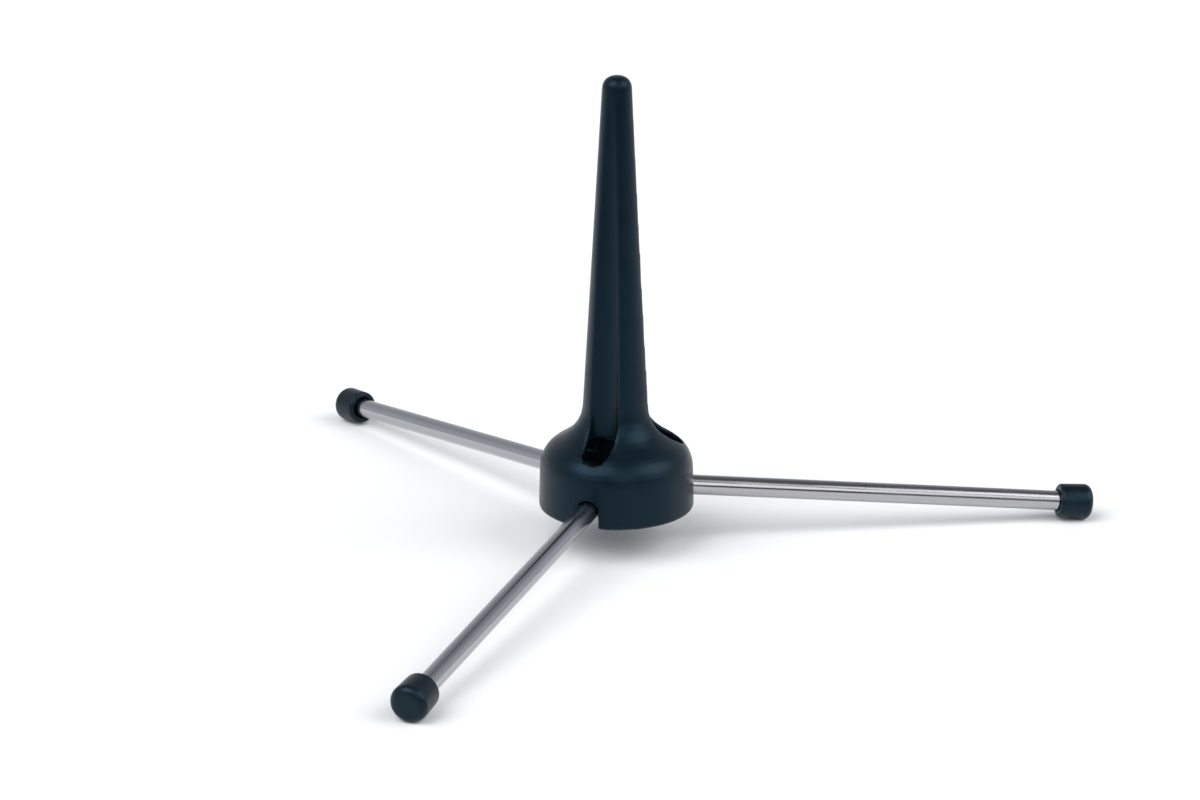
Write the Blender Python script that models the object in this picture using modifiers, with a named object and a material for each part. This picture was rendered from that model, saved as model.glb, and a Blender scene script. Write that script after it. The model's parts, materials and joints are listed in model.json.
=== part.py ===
"""A folding three-legged peg stand for a clarinet.

One moulded peg stands on a round base. Three flared steel tubes with rubber feet hang in the base by their
flares, and swing in slots that are open at the base's rim and underside.
Metres, +Z up. The origin is the centre of the base's underside. Leg 1 points along +X.
"""

import math

import bmesh
import bpy
from mathutils import Matrix, Vector

MM = 0.001

# Peg and base, one moulding
PEG_HEIGHT = 175.0 * MM
BASE_FOOT_RADIUS = 31.0 * MM  # the base's wall leans in a little, as a moulding's draft does
BASE_TOP_RADIUS = 30.4 * MM
BASE_EDGE_HEIGHT = 23.3 * MM  # where the wall and the shoulder would meet without their rounding
PEG_ROOT_RADIUS = 13.9 * MM
PEG_ROOT_HEIGHT = 33.8 * MM
PEG_TIP_RADIUS = 5.6 * MM
BOTTOM_ROUNDING = 0.8 * MM
SHOULDER_ROUNDING = 12.0 * MM
ROOT_FILLET = 16.0 * MM
TIP_ROUNDING = 4.8 * MM
PEG_SIDES = 72

# Inside of the base, a hollow ring round a hub, with a low housing for each leg
HUB_RADIUS = 7.0 * MM
SKIN = 2.6 * MM
ROOF_FLAT_RADIUS = 14.5 * MM  # the hollow's roof is flat out to here, then follows the shoulder
HOLLOW_DRAFT = 0.3 * MM
HOUSING_HALF_WIDTH = 8.2 * MM
HOUSING_HEIGHT = 15.5 * MM

# Legs
LEG_COUNT = 3
LEG_SLOPE = math.radians(5.4)  # below the horizontal, with the legs out
STOW_LEAN = math.radians(2.9)  # of a leg that hangs straight out of the base
PIVOT_RADIUS = 21.0 * MM
PIVOT_HEIGHT = 7.8 * MM
TUBE_RADIUS = 4.0 * MM
TUBE_WALL = 0.75 * MM
TUBE_LENGTH = 172.8 * MM
FLARE_RADIUS = 5.0 * MM
FLARE_LENGTH = 2.6 * MM
FLARE_RINGS = 5
TUBE_SIDES = 32

# Room for a leg in the base
SLOT_HALF_WIDTH = 4.4 * MM  # narrower than the flare, so the leg can't pull out
CHAMBER_RADIUS = 5.4 * MM  # wider than the flare, which turns in it
THROAT_RADIUS = 4.6 * MM  # below the ledge, where a leg hangs through the underside
LEDGE_HEIGHT = 5.3 * MM  # the flare rests on this ledge when the leg hangs
GROOVE_END = 20.0 * MM  # the height to which the groove and pocket are cut, inside the hollow
POCKET_HALF_WIDTH = 5.6 * MM
POCKET_END_RADIUS = 26.7 * MM
GROOVE_FLOOR_RADIUS = 9.8 * MM  # at the groove's end
GROOVE_FLOOR_CURVE = 8.0 * MM
GROOVE_LEAN = math.radians(1.6)

# Rubber feet
FOOT_LENGTH = 13.6 * MM
FOOT_MOUTH_RADIUS = 6.9 * MM
FOOT_TOE_RADIUS = 7.35 * MM
FOOT_TOE_THICKNESS = 2.6 * MM
FOOT_MOUTH_ROUNDING = 1.5 * MM
FOOT_TOE_ROUNDING = 3.0 * MM
FOOT_RECESS_RADIUS = 5.0 * MM
FOOT_RECESS_DEPTH = 1.0 * MM
FOOT_SIDES = 36

FIT_GAP = 0.15 * MM
OVERRUN = 2.0 * MM  # how far a cutter runs past the face it opens
ARC_STEP = math.radians(15)
MERGE = 0.00001

BLACK_PLASTIC = (0.020, 0.026, 0.032, 1.0)
NICKEL = (0.66, 0.65, 0.66, 1.0)
BLACK_RUBBER = (0.016, 0.020, 0.024, 1.0)


def clear_scene():
    for obj in list(bpy.data.objects):
        bpy.data.objects.remove(obj)


def make_collection(name):
    collection = bpy.data.collections.new(name)
    bpy.context.scene.collection.children.link(collection)
    return collection


def make_material(name, colour, roughness, metallic):
    material = bpy.data.materials.new(name)
    material.use_nodes = True
    shader = material.node_tree.nodes["Principled BSDF"]
    shader.inputs["Base Color"].default_value = colour
    shader.inputs["Roughness"].default_value = roughness
    shader.inputs["Metallic"].default_value = metallic
    return material


def rounded(corners):
    """A polyline through (x, y, radius) corners, each corner replaced by an arc of its radius."""
    points = []
    for index, (x, y, radius) in enumerate(corners):
        corner = Vector((x, y))
        if radius == 0:
            points.append(corner)
            continue
        before = (Vector(corners[index - 1][:2]) - corner).normalized()
        after = (Vector(corners[(index + 1) % len(corners)][:2]) - corner).normalized()
        half = before.angle(after) / 2
        middle = corner + (before + after).normalized() * radius / math.sin(half)
        start = corner + before * radius / math.tan(half) - middle
        end = corner + after * radius / math.tan(half) - middle
        turn = start.angle_signed(end)
        steps = max(2, math.ceil(abs(turn) / ARC_STEP))
        for step in range(steps + 1):
            angle = -turn * step / steps  # angle_signed counts clockwise
            x_turned = start.x * math.cos(angle) - start.y * math.sin(angle)
            y_turned = start.x * math.sin(angle) + start.y * math.cos(angle)
            points.append(middle + Vector((x_turned, y_turned)))
    return points


def link(name, mesh, collection, material=None):
    obj = bpy.data.objects.new(name, mesh)
    collection.objects.link(obj)
    if material:
        mesh.materials.append(material)
    return obj


def turned(name, profile, sides, collection, material=None, closed=False):
    """A solid of revolution about Z. The (radius, height) profile runs down the outer side."""
    mesh = bpy.data.meshes.new(name)
    count = len(profile)
    edges = [(i, i + 1) for i in range(count - 1)]
    if closed:
        edges.append((count - 1, 0))
    mesh.from_pydata([(radius, 0.0, height) for radius, height in profile], edges, [])
    obj = link(name, mesh, collection, material)
    screw = obj.modifiers.new("Turn", "SCREW")
    screw.steps = sides
    screw.render_steps = sides
    screw.use_smooth_shade = True
    screw.use_merge_vertices = True
    screw.merge_threshold = MERGE
    return obj


def prism(name, outline, low, high, collection):
    """A mesh of a flat XY outline that reaches from low to high along Z."""
    curve = bpy.data.curves.new(name, "CURVE")
    curve.dimensions = "2D"
    curve.fill_mode = "BOTH"
    curve.extrude = (high - low) / 2
    spline = curve.splines.new("POLY")
    spline.points.add(len(outline) - 1)
    for point, (x, y) in zip(spline.points, outline):
        point.co = (x, y, 0.0, 1.0)
    spline.use_cyclic_u = True
    flat = bpy.data.objects.new(name + "_outline", curve)
    collection.objects.link(flat)
    bpy.context.view_layer.update()
    evaluated = flat.evaluated_get(bpy.context.evaluated_depsgraph_get())
    mesh = bpy.data.meshes.new_from_object(evaluated)
    mesh.transform(Matrix.Translation((0, 0, (low + high) / 2)))
    bpy.data.objects.remove(flat)
    work = bmesh.new()
    work.from_mesh(mesh)
    bmesh.ops.remove_doubles(work, verts=work.verts, dist=MERGE)
    bmesh.ops.recalc_face_normals(work, faces=work.faces)
    work.to_mesh(mesh)
    work.free()
    return link(name, mesh, collection)


def boolean(obj, cutter, operation="DIFFERENCE"):
    modifier = obj.modifiers.new(cutter.name, "BOOLEAN")
    modifier.operation = operation
    modifier.solver = "EXACT"
    modifier.object = cutter
    cutter.hide_render = True
    cutter.display_type = "WIRE"


def around(azimuth, matrix=None):
    """A leg's own frame, X outwards and Z up, turned to that leg's azimuth."""
    return Matrix.Rotation(azimuth, 4, "Z") @ (matrix or Matrix.Identity(4))


def leaning(angle, radius, height):
    """A frame whose Z leans towards the peg by angle, about the point at that radius and height."""
    return Matrix.Translation((radius, 0, height)) @ Matrix.Rotation(-angle, 4, "Y")


def pocket_outline():
    """Plan of the groove and pocket for one leg: a shallow curved floor, straight sides and a round end."""
    reach = math.asin(POCKET_HALF_WIDTH / GROOVE_FLOOR_CURVE)
    floor_middle = GROOVE_FLOOR_RADIUS + GROOVE_FLOOR_CURVE
    floor_steps = 2 * math.ceil(reach / ARC_STEP)
    end_middle = POCKET_END_RADIUS - POCKET_HALF_WIDTH
    end_steps = math.ceil(math.pi / ARC_STEP)
    points = []
    for step in range(floor_steps + 1):
        angle = math.pi + reach - 2 * reach * step / floor_steps
        x = floor_middle + GROOVE_FLOOR_CURVE * math.cos(angle)
        points.append((x, GROOVE_FLOOR_CURVE * math.sin(angle)))
    for step in range(end_steps + 1):
        angle = math.pi / 2 - math.pi * step / end_steps
        x = end_middle + POCKET_HALF_WIDTH * math.cos(angle)
        points.append((x, POCKET_HALF_WIDTH * math.sin(angle)))
    return points


def arch_outline():
    """The notch in the rim seen end on, X sideways and Y up from the leg's line: open below, round above."""
    steps = math.ceil(math.pi / ARC_STEP)
    points = []
    for step in range(steps + 1):
        angle = math.pi * step / steps
        points.append((SLOT_HALF_WIDTH * math.cos(angle), SLOT_HALF_WIDTH * math.sin(angle)))
    below = -(PIVOT_HEIGHT + OVERRUN)
    points += [(-SLOT_HALF_WIDTH, below), (SLOT_HALF_WIDTH, below)]
    return points


def make_hollow(cutters, azimuths):
    """Cutter for the hollow ring inside the base, which is open below, less the three leg housings."""
    slope = (PEG_ROOT_HEIGHT - BASE_EDGE_HEIGHT) / (BASE_TOP_RADIUS - PEG_ROOT_RADIUS)
    middle_top = PEG_ROOT_HEIGHT - SKIN * math.hypot(1, slope)
    outer = BASE_TOP_RADIUS - SKIN
    inner_top = middle_top - slope * (ROOF_FLAT_RADIUS - PEG_ROOT_RADIUS)
    outer_top = middle_top - slope * (outer - PEG_ROOT_RADIUS)
    ring = [
        (HUB_RADIUS, inner_top),
        (ROOF_FLAT_RADIUS, inner_top),
        (outer, outer_top),
        (outer + HOLLOW_DRAFT, -OVERRUN),
        (HUB_RADIUS, -OVERRUN),
    ]
    hollow = turned("hollow_cutter", ring, PEG_SIDES, cutters, closed=True)
    wide = HOUSING_HALF_WIDTH
    far = BASE_FOOT_RADIUS + OVERRUN
    block = [(0.0, -wide), (far, -wide), (far, wide), (0.0, wide)]
    for number, azimuth in enumerate(azimuths, 1):
        housing = prism(f"housing_{number}_cutter", block, -2 * OVERRUN, HOUSING_HEIGHT, cutters)
        housing.matrix_world = around(azimuth)
        boolean(hollow, housing)
    return hollow


def cut_leg_room(peg, number, azimuth, cutters):
    """The groove and pocket, the chamber with its throat, and the slot of one leg."""
    pocket = prism(f"pocket_{number}_cutter", pocket_outline(), 0.0, PEG_HEIGHT, cutters)
    pocket.matrix_world = around(azimuth, leaning(GROOVE_LEAN, 0.0, GROOVE_END))
    chamber = turned(
        f"chamber_{number}_cutter",
        [
            (0.0, HOUSING_HEIGHT + OVERRUN - PIVOT_HEIGHT),
            (CHAMBER_RADIUS, HOUSING_HEIGHT + OVERRUN - PIVOT_HEIGHT),
            (CHAMBER_RADIUS, LEDGE_HEIGHT - PIVOT_HEIGHT),
            (THROAT_RADIUS, LEDGE_HEIGHT - PIVOT_HEIGHT),
            (THROAT_RADIUS, -PIVOT_HEIGHT - OVERRUN),
            (0.0, -PIVOT_HEIGHT - OVERRUN),
        ],
        TUBE_SIDES,
        cutters,
    )
    chamber.matrix_world = around(azimuth, leaning(STOW_LEAN, PIVOT_RADIUS, PIVOT_HEIGHT))
    length = BASE_FOOT_RADIUS + OVERRUN - PIVOT_RADIUS
    arch = prism(f"arch_{number}_cutter", arch_outline(), 0.0, length, cutters)
    along_leg = Matrix.Translation((PIVOT_RADIUS, 0, PIVOT_HEIGHT)) @ Matrix.Rotation(LEG_SLOPE, 4, "Y")
    stand_up = Matrix(((0, 0, 1, 0), (1, 0, 0, 0), (0, 1, 0, 0), (0, 0, 0, 1)))
    arch.matrix_world = around(azimuth, along_leg @ stand_up)
    for cutter in (pocket, chamber, arch):
        boolean(peg, cutter)


def make_peg(parts, cutters, azimuths, material):
    """The moulded peg and base, turned in one outline and then opened for the legs."""
    outline = rounded(
        [
            (0.0, PEG_HEIGHT, 0),
            (PEG_TIP_RADIUS, PEG_HEIGHT, TIP_ROUNDING),
            (PEG_ROOT_RADIUS, PEG_ROOT_HEIGHT, ROOT_FILLET),
            (BASE_TOP_RADIUS, BASE_EDGE_HEIGHT, SHOULDER_ROUNDING),
            (BASE_FOOT_RADIUS, 0.0, BOTTOM_ROUNDING),
            (0.0, 0.0, 0),
        ]
    )
    peg = turned("peg_and_base", outline, PEG_SIDES, parts, material)
    boolean(peg, make_hollow(cutters, azimuths))
    for number, azimuth in enumerate(azimuths, 1):
        cut_leg_room(peg, number, azimuth, cutters)
    return peg


def tube_profile():
    """Half section of a leg tube hanging from its flare at the origin."""
    outer, inner = [], []
    for ring in range(FLARE_RINGS + 1):
        share = ring / FLARE_RINGS
        spread = (FLARE_RADIUS - TUBE_RADIUS) * (1 - share) ** 2
        outer.append((TUBE_RADIUS + spread, -share * FLARE_LENGTH))
        inner.append((TUBE_RADIUS - TUBE_WALL + spread, -share * FLARE_LENGTH))
    outer.append((TUBE_RADIUS, -TUBE_LENGTH))
    inner.append((TUBE_RADIUS - TUBE_WALL, -TUBE_LENGTH))
    return outer + inner[::-1]


def foot_profile():
    """Half section of a rubber foot on the lower end of a leg tube."""
    toe = -(TUBE_LENGTH + FOOT_TOE_THICKNESS)
    mouth = toe + FOOT_LENGTH
    bore = TUBE_RADIUS + FIT_GAP
    return rounded(
        [
            (0.0, -TUBE_LENGTH - FIT_GAP, 0),
            (bore, -TUBE_LENGTH - FIT_GAP, 0),
            (bore, mouth - FOOT_RECESS_DEPTH, 0),
            (FOOT_RECESS_RADIUS, mouth, 0),
            (FOOT_MOUTH_RADIUS, mouth, FOOT_MOUTH_ROUNDING),
            (FOOT_TOE_RADIUS, toe, FOOT_TOE_ROUNDING),
            (0.0, toe, 0),
        ]
    )


def make_leg(parts, number, azimuth, nickel, rubber):
    """A tube and its foot, on an empty at the pivot. Both hang along the empty's -Z."""
    pivot = bpy.data.objects.new(f"leg_{number}_pivot", None)
    parts.objects.link(pivot)
    pivot.location = around(azimuth) @ Vector((PIVOT_RADIUS, 0, PIVOT_HEIGHT))
    pivot.rotation_euler = (0, LEG_SLOPE - math.pi / 2, azimuth)
    tube = turned(f"leg_tube_{number}", tube_profile(), TUBE_SIDES, parts, nickel, closed=True)
    foot = turned(f"rubber_foot_{number}", foot_profile(), FOOT_SIDES, parts, rubber)
    for piece in (tube, foot):
        piece.parent = pivot


def main():
    clear_scene()
    parts = make_collection("clarinet_stand")
    cutters = make_collection("cutters")
    plastic = make_material("peg_plastic", BLACK_PLASTIC, 0.48, 0.0)
    nickel = make_material("leg_nickel", NICKEL, 0.16, 1.0)
    rubber = make_material("foot_rubber", BLACK_RUBBER, 0.6, 0.0)
    azimuths = [2 * math.pi * leg / LEG_COUNT for leg in range(LEG_COUNT)]
    make_peg(parts, cutters, azimuths, plastic)
    for number, azimuth in enumerate(azimuths, 1):
        make_leg(parts, number, azimuth, nickel, rubber)


main()
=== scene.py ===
"""The finished look of a folding clarinet peg stand: moulded peg, nickel-plated legs and rubber feet.

Metres, +Z up, in the CAD frame. A leg's own frame has its origin at the leg's pivot,
and its -Z runs along the tube.
"""

import json
import math

import bpy
import numpy as np
from mathutils import Matrix, Vector

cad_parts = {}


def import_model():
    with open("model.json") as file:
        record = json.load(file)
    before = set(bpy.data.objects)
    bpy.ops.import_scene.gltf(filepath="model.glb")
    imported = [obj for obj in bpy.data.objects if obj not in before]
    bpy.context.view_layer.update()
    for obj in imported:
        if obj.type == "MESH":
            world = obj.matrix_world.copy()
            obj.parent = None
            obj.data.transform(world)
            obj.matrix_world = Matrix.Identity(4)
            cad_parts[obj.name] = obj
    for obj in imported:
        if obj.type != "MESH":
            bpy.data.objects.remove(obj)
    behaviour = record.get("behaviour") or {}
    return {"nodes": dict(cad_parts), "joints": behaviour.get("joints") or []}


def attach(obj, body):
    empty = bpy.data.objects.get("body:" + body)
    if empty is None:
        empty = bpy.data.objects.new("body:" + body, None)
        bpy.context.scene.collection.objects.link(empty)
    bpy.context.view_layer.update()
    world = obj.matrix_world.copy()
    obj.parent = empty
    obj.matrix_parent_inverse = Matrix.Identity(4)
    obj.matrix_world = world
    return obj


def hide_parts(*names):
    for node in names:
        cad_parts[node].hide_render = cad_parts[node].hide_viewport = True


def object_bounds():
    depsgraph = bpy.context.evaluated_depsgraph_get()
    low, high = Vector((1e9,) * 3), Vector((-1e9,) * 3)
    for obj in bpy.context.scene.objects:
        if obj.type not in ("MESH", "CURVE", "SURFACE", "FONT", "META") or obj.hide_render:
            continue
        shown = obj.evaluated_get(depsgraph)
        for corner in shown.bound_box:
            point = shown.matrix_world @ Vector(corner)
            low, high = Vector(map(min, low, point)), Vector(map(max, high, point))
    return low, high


MM = 0.001

# Meshes
TURNED_STEPS = 96
ARC_STEP = math.radians(6)
SHARP_ANGLE = math.radians(50)
MERGE_DISTANCE = 0.001 * MM
OWN_PLACE = "own_place"  # a leg piece's points in its leg's own frame, for its materials

# Legs, as in the CAD
LEG_SLOPE = math.radians(5.4)
TUBE_RADIUS = 4.0 * MM
TUBE_WALL = 0.75 * MM
TUBE_LENGTH = 172.8 * MM
FLARE_RADIUS = 5.0 * MM
FLARE_LENGTH = 2.6 * MM
FLARE_RINGS = 10
RIM_ROUNDING = 0.3 * MM
FOOT_LENGTH = 13.6 * MM
FOOT_MOUTH_RADIUS = 6.9 * MM
FOOT_TOE_RADIUS = 7.35 * MM
FOOT_TOE_THICKNESS = 2.6 * MM
FOOT_BORE_GAP = 0.15 * MM
FOOT_LIP_RADIUS = 5.0 * MM
FOOT_LIP_DEPTH = 1.0 * MM
FOOT_LIP_ROUNDING = 0.35 * MM
FOOT_MOUTH_ROUNDING = 1.4 * MM
FOOT_TOE_ROUNDING = 3.0 * MM
FOOT_BORE_ROUNDING = 0.3 * MM  # at the bore's closed end
FOOT_BORE_MOUTH_ROUNDING = 0.25 * MM

# Peg
PEG_VOXEL = 0.62 * MM
PEG_SOFTENING_STEPS = 4

# Camera: it looks along +Y, turned a little towards leg 1 and down
VIEW_AZIMUTH = math.radians(7.75)
VIEW_ELEVATION = math.radians(18.34)
VIEW_DISTANCE = 1.295
VIEW_RIGHT = -6.56 * MM  # where the camera stands off the line to the origin
VIEW_UP = 41.68 * MM
SENSOR_WIDTH = 36.0
LENS = 97.0

# Colours: each material's mean, and the two ends of its variation
PLASTIC = (0.0022, 0.0065, 0.0105)
PLASTIC_DARK = (0.0014, 0.0050, 0.0085)
PLASTIC_LIGHT = (0.0028, 0.0080, 0.0125)
PLASTIC_GLOSS_TINT = (0.38, 0.72, 1.0)
NICKEL = (0.42, 0.415, 0.435)
NICKEL_DARK = (0.36, 0.355, 0.375)
NICKEL_LIGHT = (0.48, 0.475, 0.495)
RUBBER = (0.0030, 0.0065, 0.0095)
RUBBER_DARK = (0.0018, 0.0045, 0.0070)
RUBBER_LIGHT = (0.0042, 0.0085, 0.0120)
RUBBER_GLOSS_TINT = (0.42, 0.74, 1.0)

# Studio
# Floor colours: white, and the grey of painted shade, which stands in for the light falling off towards the
# camera
FLOOR_WHITE = (0.92, 0.925, 0.93)
FLOOR_PAINTED_SHADE = (0.17, 0.18, 0.19)
FLOOR_WHITE_FROM = -0.26  # Y, negative towards the camera
FLOOR_PAINTED_SHADE_FROM = -0.90
FLOOR_HALF_SIDE = 6.0
WORLD_HORIZON = (0.62, 0.66, 0.71)
WORLD_ZENITH = (0.15, 0.15, 0.16)
WORLD_HORIZON_UP_TO = 0.3  # the Z part of a direction of length 1
WORLD_ZENITH_FROM = 0.9
WORLD_DARK_UP_TO = -0.95  # the Y part of a direction of length 1, negative towards the camera
WORLD_LIT_FROM = -0.4
WORLD_DARK_STRENGTH = 0.12
SOFT_BOXES = (  # name, azimuth, elevation and angular size in degrees, strength
    ("left_soft_box", -150, 51, 52, 2.0),
    ("middle_soft_box", -86, 33, 38, 0.55),
    ("right_soft_box", -26, 40, 48, 1.4),
)


def link(obj):
    bpy.context.scene.collection.objects.link(obj)
    return obj


def rounded(corners):
    """A polyline through (x, y, radius) corners, each corner replaced by an arc of its radius."""
    points = []
    for index, (x, y, radius) in enumerate(corners):
        corner = Vector((x, y))
        if radius == 0:
            points.append(corner)
            continue
        before = (Vector(corners[index - 1][:2]) - corner).normalized()
        after = (Vector(corners[(index + 1) % len(corners)][:2]) - corner).normalized()
        half = before.angle(after) / 2
        middle = corner + (before + after).normalized() * radius / math.sin(half)
        start = corner + before * radius / math.tan(half) - middle
        end = corner + after * radius / math.tan(half) - middle
        turn = start.angle_signed(end)
        steps = max(2, math.ceil(abs(turn) / ARC_STEP))
        for step in range(steps + 1):
            arm = start.copy()
            arm.rotate(Matrix.Rotation(-turn * step / steps, 2))
            points.append(middle + arm)
    return points


def turned(name, profile, closed=False):
    """A solid of revolution about Z. The (radius, height) profile runs down the outer side."""
    mesh = bpy.data.meshes.new(name)
    count = len(profile)
    edges = [(i, i + 1) for i in range(count - 1)]
    if closed:
        edges.append((count - 1, 0))
    mesh.from_pydata([(radius, 0.0, height) for radius, height in profile], edges, [])
    obj = link(bpy.data.objects.new(name, mesh))
    screw = obj.modifiers.new("Turn", "SCREW")
    screw.steps = screw.render_steps = TURNED_STEPS
    screw.use_merge_vertices = True
    screw.merge_threshold = MERGE_DISTANCE
    baked(obj)
    obj.data.set_sharp_from_angle(angle=SHARP_ANGLE)
    return obj


def baked(obj):
    """Applies the object's modifiers to its mesh, and shades it smooth."""
    bpy.context.view_layer.update()
    evaluated = obj.evaluated_get(bpy.context.evaluated_depsgraph_get())
    mesh = bpy.data.meshes.new_from_object(evaluated)
    obj.modifiers.clear()
    old = obj.data
    obj.data = mesh
    bpy.data.meshes.remove(old)
    mesh.name = obj.name
    mesh.shade_smooth()


def placed(obj, matrix):
    """Moves the mesh itself into the CAD frame, and keeps where its points were in OWN_PLACE."""
    mesh = obj.data
    points = np.empty(len(mesh.vertices) * 3, np.float32)
    mesh.vertices.foreach_get("co", points)
    mesh.attributes.new(OWN_PLACE, "FLOAT_VECTOR", "POINT").data.foreach_set("vector", points)
    mesh.transform(matrix)


def finish_piece(obj, material, body, node):
    obj.data.materials.clear()
    obj.data.materials.append(material)
    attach(obj, body)
    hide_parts(node)


# Materials


class Shader:
    """A new material's node tree, with short ways to add and link nodes."""

    def __init__(self, name, colour, roughness, metallic=0.0, place="Object"):
        self.material = bpy.data.materials.new(name)
        self.material.use_nodes = True
        self.tree = self.material.node_tree
        self.surface = self.tree.nodes["Principled BSDF"]
        self.set("Base Color", (*colour, 1.0))
        self.set("Roughness", roughness)
        self.set("Metallic", metallic)
        if place == OWN_PLACE:
            reader = self.tree.nodes.new("ShaderNodeAttribute")
            reader.attribute_name = OWN_PLACE
            self.place = reader.outputs["Vector"]
        else:
            self.place = self.tree.nodes.new("ShaderNodeTexCoord").outputs["Object"]

    def set(self, socket, value):
        self.surface.inputs[socket].default_value = value

    def join(self, output, node, socket):
        self.tree.links.new(output, node.inputs[socket])

    def scaled(self, scale):
        mapping = self.tree.nodes.new("ShaderNodeMapping")
        mapping.inputs["Scale"].default_value = scale
        self.join(self.place, mapping, "Vector")
        return mapping.outputs["Vector"]

    def noise(self, size, detail=2.0, roughness=0.5, stretch=(1, 1, 1)):
        """Noise from 0 to 1 whose features are about size metres, longer along an axis by its stretch."""
        node = self.tree.nodes.new("ShaderNodeTexNoise")
        node.inputs["Scale"].default_value = 1.0
        node.inputs["Detail"].default_value = detail
        node.inputs["Roughness"].default_value = roughness
        self.join(self.scaled([1 / (size * s) for s in stretch]), node, "Vector")
        return node.outputs["Fac"]

    def spread(self, value, low, high, start=0.3, end=0.7):
        """value from start to end, spread over low to high."""
        node = self.tree.nodes.new("ShaderNodeMapRange")
        for socket, number in zip(("From Min", "From Max", "To Min", "To Max"), (start, end, low, high)):
            node.inputs[socket].default_value = number
        self.join(value, node, "Value")
        return node.outputs["Result"]

    def blend(self, share, first, second):
        node = self.tree.nodes.new("ShaderNodeMix")
        node.data_type = "RGBA"
        node.inputs["A"].default_value = (*first, 1.0)
        node.inputs["B"].default_value = (*second, 1.0)
        self.join(share, node, "Factor")
        return node.outputs["Result"]

    def add(self, first, second):
        node = self.tree.nodes.new("ShaderNodeMath")
        self.join(first, node, 0)
        self.join(second, node, 1)
        return node.outputs["Value"]

    def bump(self, height, depth, under=None):
        """Adds a relief depth metres deep, over the relief under."""
        node = self.tree.nodes.new("ShaderNodeBump")
        node.inputs["Strength"].default_value = 1.0
        node.inputs["Distance"].default_value = depth
        self.join(height, node, "Height")
        if under:
            self.join(under, node, "Normal")
        return node.outputs["Normal"]

    def feed(self, output, socket):
        self.join(output, self.surface, socket)


def moulded_plastic():
    """Blue-black plastic with a fine spark-eroded mould texture."""
    shader = Shader("moulded_plastic", PLASTIC, 0.35)
    shader.set("Specular IOR Level", 0.26)
    shader.set("Specular Tint", (*PLASTIC_GLOSS_TINT, 1.0))
    mottle = shader.noise(9 * MM, detail=3.0)
    shader.feed(shader.blend(mottle, PLASTIC_DARK, PLASTIC_LIGHT), "Base Color")
    grain = shader.noise(0.35 * MM, detail=2.0, roughness=0.6)
    roughness = shader.add(shader.spread(mottle, 0.28, 0.36), shader.spread(grain, 0.0, 0.06))
    shader.feed(roughness, "Roughness")
    ripple = shader.bump(shader.noise(14 * MM, detail=1.0), 0.12 * MM)
    shader.feed(shader.bump(grain, 0.010 * MM, ripple), "Normal")
    return shader.material


def nickel_plate():
    """Bright nickel over drawn steel tube, whose drawing lines run along it."""
    shader = Shader("nickel_plate", NICKEL, 0.16, metallic=1.0, place=OWN_PLACE)
    lines = shader.noise(0.55 * MM, detail=3.0, roughness=0.6, stretch=(1, 1, 70))
    smears = shader.noise(7 * MM, detail=2.0, stretch=(1, 1, 3))
    shader.feed(shader.blend(lines, NICKEL_DARK, NICKEL_LIGHT), "Base Color")
    roughness = shader.add(shader.spread(lines, 0.10, 0.20), shader.spread(smears, 0.0, 0.07))
    shader.feed(roughness, "Roughness")
    shader.feed(shader.bump(lines, 0.008 * MM), "Normal")
    return shader.material


def foot_rubber():
    """Soft black rubber, a little glossy where the mould was polished and dusty in places."""
    shader = Shader("foot_rubber", RUBBER, 0.35, place=OWN_PLACE)
    shader.set("Specular IOR Level", 0.30)
    shader.set("Specular Tint", (*RUBBER_GLOSS_TINT, 1.0))
    bloom = shader.noise(5 * MM, detail=4.0, roughness=0.6)
    grain = shader.noise(0.3 * MM, detail=2.0)
    shader.feed(shader.blend(bloom, RUBBER_DARK, RUBBER_LIGHT), "Base Color")
    shader.feed(shader.spread(bloom, 0.27, 0.42), "Roughness")
    shader.feed(shader.bump(grain, 0.012 * MM), "Normal")
    return shader.material


# Pieces


def softened(mesh, steps):
    """Each step moves every vertex half way to the middle of its neighbours, which rounds the edges off."""
    count = len(mesh.vertices)
    points = np.empty(count * 3)
    mesh.vertices.foreach_get("co", points)
    points = points.reshape(-1, 3)
    ends = np.empty(len(mesh.edges) * 2, np.int32)
    mesh.edges.foreach_get("vertices", ends)
    first, second = ends.reshape(-1, 2).T
    neighbours = np.bincount(first, minlength=count) + np.bincount(second, minlength=count)
    for _ in range(steps):
        total = np.zeros_like(points)
        for axis in range(3):
            total[:, axis] = np.bincount(first, points[second, axis], count)
            total[:, axis] += np.bincount(second, points[first, axis], count)
        points += (total / neighbours[:, None] - points) / 2
    mesh.vertices.foreach_set("co", points.ravel())
    mesh.update()


def make_peg(cad_node, material):
    """The moulding, remeshed finely and softened so that every edge has a moulding's small radius."""
    peg = link(bpy.data.objects.new("peg", cad_node.data.copy()))
    remesh = peg.modifiers.new("Fine", "REMESH")
    remesh.mode = "VOXEL"
    remesh.voxel_size = PEG_VOXEL
    baked(peg)
    softened(peg.data, PEG_SOFTENING_STEPS)
    finish_piece(peg, material, "base", "peg_and_base")


def tube_profile():
    """Half section of a flared tube hanging from the origin, with its rim rolled round."""
    spread = FLARE_RADIUS - TUBE_RADIUS
    outer = []
    for ring in range(1, FLARE_RINGS + 1):
        share = ring / FLARE_RINGS
        outer.append((TUBE_RADIUS + spread * (1 - share) ** 2, -share * FLARE_LENGTH))
    inner = [(radius - TUBE_WALL, height) for radius, height in outer]
    rim = rounded(
        [
            (inner[0][0], inner[0][1], 0),
            (FLARE_RADIUS - TUBE_WALL, 0.0, RIM_ROUNDING),
            (FLARE_RADIUS, 0.0, RIM_ROUNDING),
            (outer[0][0], outer[0][1], 0),
        ]
    )
    outer.append((TUBE_RADIUS, -TUBE_LENGTH))
    inner.append((TUBE_RADIUS - TUBE_WALL, -TUBE_LENGTH))
    return rim + outer[1:] + inner[:0:-1]


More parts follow.
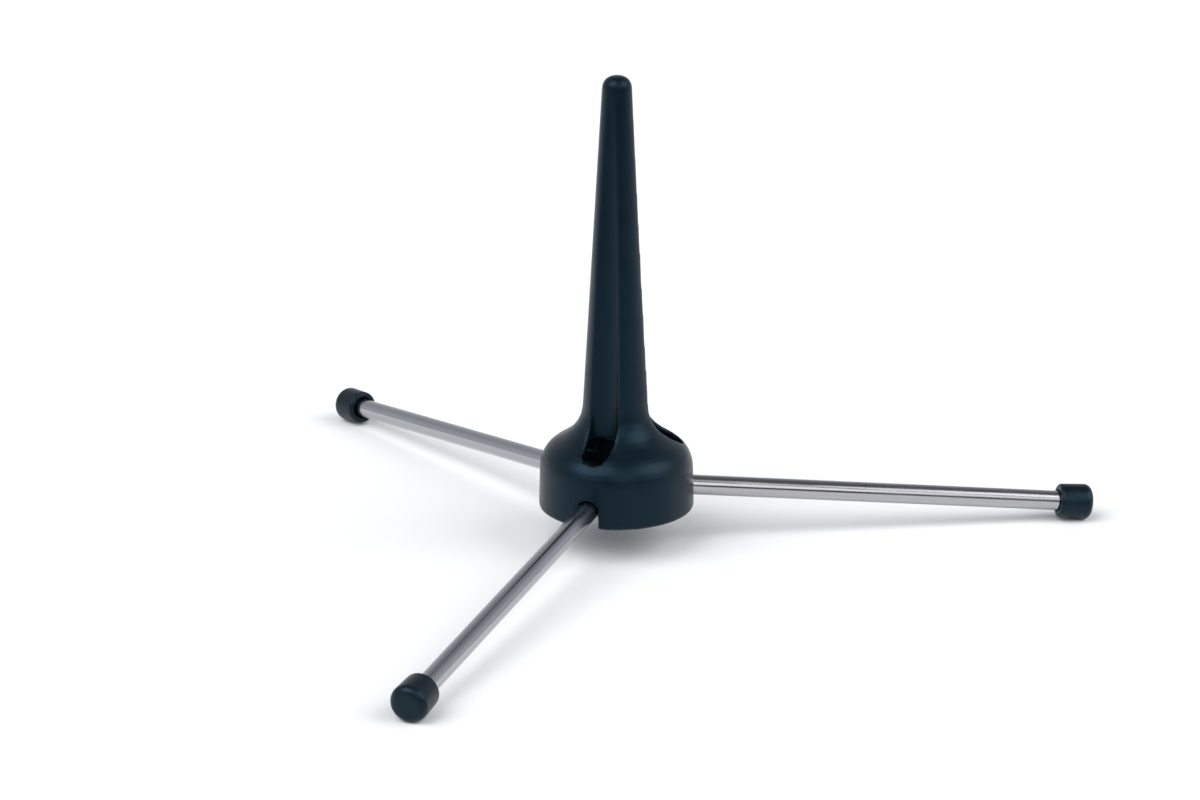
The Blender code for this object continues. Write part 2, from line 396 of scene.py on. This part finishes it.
def foot_profile():
    """Half section of a rubber foot, with a lipped mouth and a rounded toe."""
    toe = -(TUBE_LENGTH + FOOT_TOE_THICKNESS)
    mouth = toe + FOOT_LENGTH
    bore = TUBE_RADIUS + FOOT_BORE_GAP
    bore_end = -TUBE_LENGTH - FOOT_BORE_GAP
    return rounded(
        [
            (0.0, bore_end, 0),
            (bore, bore_end, FOOT_BORE_ROUNDING),
            (bore, mouth - FOOT_LIP_DEPTH, FOOT_BORE_MOUTH_ROUNDING),
            (FOOT_LIP_RADIUS, mouth, FOOT_LIP_ROUNDING),
            (FOOT_MOUTH_RADIUS, mouth, FOOT_MOUTH_ROUNDING),
            (FOOT_TOE_RADIUS, toe, FOOT_TOE_ROUNDING),
            (0.0, toe, 0),
        ]
    )


def make_leg(joint, nickel, rubber):
    """One leg's tube and foot, placed on its joint."""
    number = joint["child"].split("_")[1]
    pivot = Vector(joint["pos_m"])
    azimuth = math.atan2(pivot.y, pivot.x)
    turn = Matrix.Rotation(azimuth, 4, "Z") @ Matrix.Rotation(LEG_SLOPE - math.pi / 2, 4, "Y")
    place = Matrix.Translation(pivot) @ turn
    tube = turned(f"tube_{number}", tube_profile(), closed=True)
    foot = turned(f"foot_{number}", foot_profile())
    for piece in (tube, foot):
        placed(piece, place)
    finish_piece(tube, nickel, joint["child"], f"leg_tube_{number}")
    finish_piece(foot, rubber, joint["child"], f"rubber_foot_{number}")


# Stage


def make_floor(height):
    """A white floor with painted shade: its colour turns grey in front of the stand, towards the camera,
    standing in for the studio's light falling off there.
    """
    shader = Shader("floor_with_painted_shade", FLOOR_WHITE, 0.75)
    shader.set("Specular IOR Level", 0.15)
    split = shader.tree.nodes.new("ShaderNodeSeparateXYZ")
    shader.join(shader.place, split, "Vector")
    # painted shade: the floor's colour goes from white to grey towards the camera
    share = shader.spread(split.outputs["Y"], 0.0, 1.0, FLOOR_PAINTED_SHADE_FROM, FLOOR_WHITE_FROM)
    shader.feed(shader.blend(share, FLOOR_PAINTED_SHADE, FLOOR_WHITE), "Base Color")
    mesh = bpy.data.meshes.new("floor")
    signs = ((-1, -1), (1, -1), (1, 1), (-1, 1))
    outline = [(x * FLOOR_HALF_SIDE, y * FLOOR_HALF_SIDE, height) for x, y in signs]
    mesh.from_pydata(outline, [], [(0, 1, 2, 3)])
    mesh.materials.append(shader.material)
    link(bpy.data.objects.new("floor", mesh))


def make_soft_box(name, azimuth, elevation, size, strength):
    """A broad, even light from above, seen from the stand in the direction azimuth."""
    data = bpy.data.lights.new(name, "SUN")
    data.angle = math.radians(size)
    data.energy = strength
    lamp = link(bpy.data.objects.new(name, data))
    lamp.rotation_euler = (math.radians(90 - elevation), 0, math.radians(azimuth + 90))


def make_world():
    """A grey studio, darker overhead and darkest behind the camera, for the dark lines on the nickel."""
    world = bpy.data.worlds.new("studio")
    bpy.context.scene.world = world
    world.use_nodes = True
    nodes, links = world.node_tree.nodes, world.node_tree.links
    place = nodes.new("ShaderNodeTexCoord")
    split = nodes.new("ShaderNodeSeparateXYZ")
    links.new(place.outputs["Generated"], split.inputs["Vector"])
    ramp = nodes.new("ShaderNodeValToRGB")
    links.new(split.outputs["Z"], ramp.inputs["Fac"])
    stops = ramp.color_ramp.elements
    stops[0].position = WORLD_HORIZON_UP_TO
    stops[0].color = (*WORLD_HORIZON, 1)
    stops[1].position = WORLD_ZENITH_FROM
    stops[1].color = (*WORLD_ZENITH, 1)
    front = nodes.new("ShaderNodeMapRange")
    front.inputs["From Min"].default_value = WORLD_DARK_UP_TO
    front.inputs["From Max"].default_value = WORLD_LIT_FROM
    front.inputs["To Min"].default_value = WORLD_DARK_STRENGTH
    links.new(split.outputs["Y"], front.inputs["Value"])
    links.new(ramp.outputs["Color"], nodes["Background"].inputs["Color"])
    links.new(front.outputs["Result"], nodes["Background"].inputs["Strength"])


def make_camera():
    forward = Vector(
        (
            math.sin(VIEW_AZIMUTH) * math.cos(VIEW_ELEVATION),
            math.cos(VIEW_AZIMUTH) * math.cos(VIEW_ELEVATION),
            -math.sin(VIEW_ELEVATION),
        )
    )
    right = Vector((math.cos(VIEW_AZIMUTH), -math.sin(VIEW_AZIMUTH), 0))
    up = right.cross(forward)
    data = bpy.data.cameras.new("camera")
    data.lens = LENS
    data.sensor_width = SENSOR_WIDTH
    camera = link(bpy.data.objects.new("camera", data))
    camera.location = -VIEW_DISTANCE * forward + VIEW_RIGHT * right + VIEW_UP * up
    camera.rotation_euler = Matrix((right, up, -forward)).transposed().to_euler()
    bpy.context.scene.camera = camera


def as_lists(box):
    return [list(corner) for corner in box]


def main():
    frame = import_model()
    cad_box = as_lists(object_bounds())
    make_peg(frame["nodes"]["peg_and_base"], moulded_plastic())
    nickel, rubber = nickel_plate(), foot_rubber()
    for joint in frame["joints"]:
        make_leg(joint, nickel, rubber)
    make_floor(cad_box[0][2])
    make_world()
    for soft_box in SOFT_BOXES:
        make_soft_box(*soft_box)
    make_camera()
    bpy.context.scene.view_settings.view_transform = "Standard"


main()
